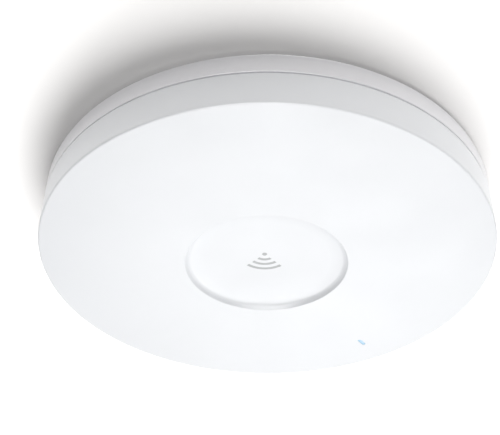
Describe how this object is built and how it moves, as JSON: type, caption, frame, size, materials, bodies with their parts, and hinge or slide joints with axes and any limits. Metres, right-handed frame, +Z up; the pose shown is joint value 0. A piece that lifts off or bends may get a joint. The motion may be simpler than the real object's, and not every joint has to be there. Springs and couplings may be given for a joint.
{
  "type": "ceiling access point",
  "caption": "Round flat ceiling wireless access point: white cover with a central dish and status light, twist-lock rear housing and ceiling bracket.",
  "frame": {"origin": "centre of the bracket's ceiling face, on the unit's centre line", "axes": "+Z up into the ceiling along the unit's centre line; the status light lies on the +Y side of the face, which looks down (-Z); +X completes the right-handed frame"},
  "size_m": [0.22, 0.22, 0.0293],
  "materials": {
    "shell_white": "satin",
    "bracket_white": "satin",
    "label_silver": "matte",
    "steel_plain": "satin",
    "light_guide": "clear",
    "led_white": "gloss",
    "board_green": "satin",
    "heat_aluminium": "satin",
    "chip_black": "matte",
    "pad_grey": "matte",
    "tin_plate": "satin",
    "core_ferrite": "matte",
    "coil_tape": "satin",
    "can_aluminium": "satin",
    "resistor_body": "matte",
    "contact_gold": "gloss",
    "socket_black": "satin",
    "button_grey": "satin",
    "plunger_white": "satin",
    "lead_black": "matte",
    "aerial_board": "satin",
    "screw_zinc": "satin"
  },
  "bodies": {
    "bracket": {"mounting_bracket": "bracket_white"},
    "lock_tongue": {"bracket_lock_tongue": "bracket_white"},
    "reset_key": {"reset_button": "button_grey"},
    "reset_plunger": {"reset_switch_plunger": "plunger_white"},
    "access_point": {"front_cover": "shell_white", "rear_housing": "shell_white", "rating_label": "label_silver", "lock_slot_plate": "steel_plain", "light_pipe": "light_guide", "status_led": "led_white", "main_board": "board_green", "heat_sink": "heat_aluminium", "processor_chip": "chip_black", "processor_thermal_pad": "pad_grey", "radio_5g_chip": "chip_black", "radio_5g_thermal_pad": "pad_grey", "radio_2g_chip": "chip_black", "radio_2g_thermal_pad": "pad_grey", "memory_chips": "chip_black", "flash_chip": "chip_black", "network_controller_chip": "chip_black", "radio_5g_shield": "tin_plate", "radio_2g_shield": "tin_plate", "power_amplifier_chips": "chip_black", "transformer_base": "socket_black", "transformer_core": "core_ferrite", "transformer_coil": "coil_tape", "network_isolation_module": "chip_black", "bulk_capacitors": "can_aluminium", "power_inductors": "core_ferrite", "chip_resistors": "resistor_body", "ethernet_jack_shell": "tin_plate", "ethernet_jack_insert": "socket_black", "ethernet_jack_contacts": "contact_gold", "power_socket_body": "socket_black", "power_socket_pin": "tin_plate", "reset_switch_body": "chip_black", "board_aerial_1": "tin_plate", "board_aerial_2": "tin_plate", "board_aerial_3": "tin_plate", "board_aerial_4": "tin_plate", "side_aerials": "aerial_board", "side_aerial_leads": "lead_black", "side_aerial_plugs": "contact_gold", "side_aerial_sockets": "contact_gold", "case_screws": "screw_zinc", "board_screws": "screw_zinc", "aerial_screws": "screw_zinc"}
  },
  "joints": [
    {"name": "twist_lock", "type": "hinge", "parent": "bracket", "child": "access_point", "pos_m": [0, 0, 0], "axis": [0, 0, -1], "range_deg": [0, 15]},
    {"name": "lock_tongue_flex", "type": "hinge", "parent": "bracket", "child": "lock_tongue", "pos_m": [-0.0115, 0.056, -0.0017], "axis": [0, -1, 0], "range_deg": [0, 2.6], "stiffness_Nm_per_rad": 0.8},
    {"name": "reset_press", "type": "slide", "parent": "access_point", "child": "reset_key", "axis": [0, 1, 0], "range_m": [0, 0.0005], "stiffness_N_per_m": 300},
    {"name": "reset_switch_travel", "type": "slide", "parent": "access_point", "child": "reset_plunger", "axis": [0, 1, 0], "range_m": [0, 0.0005]}
  ],
  "couplings": [
    {"joint": "reset_switch_travel", "follows": "reset_press", "ratio": 1}
  ]
}
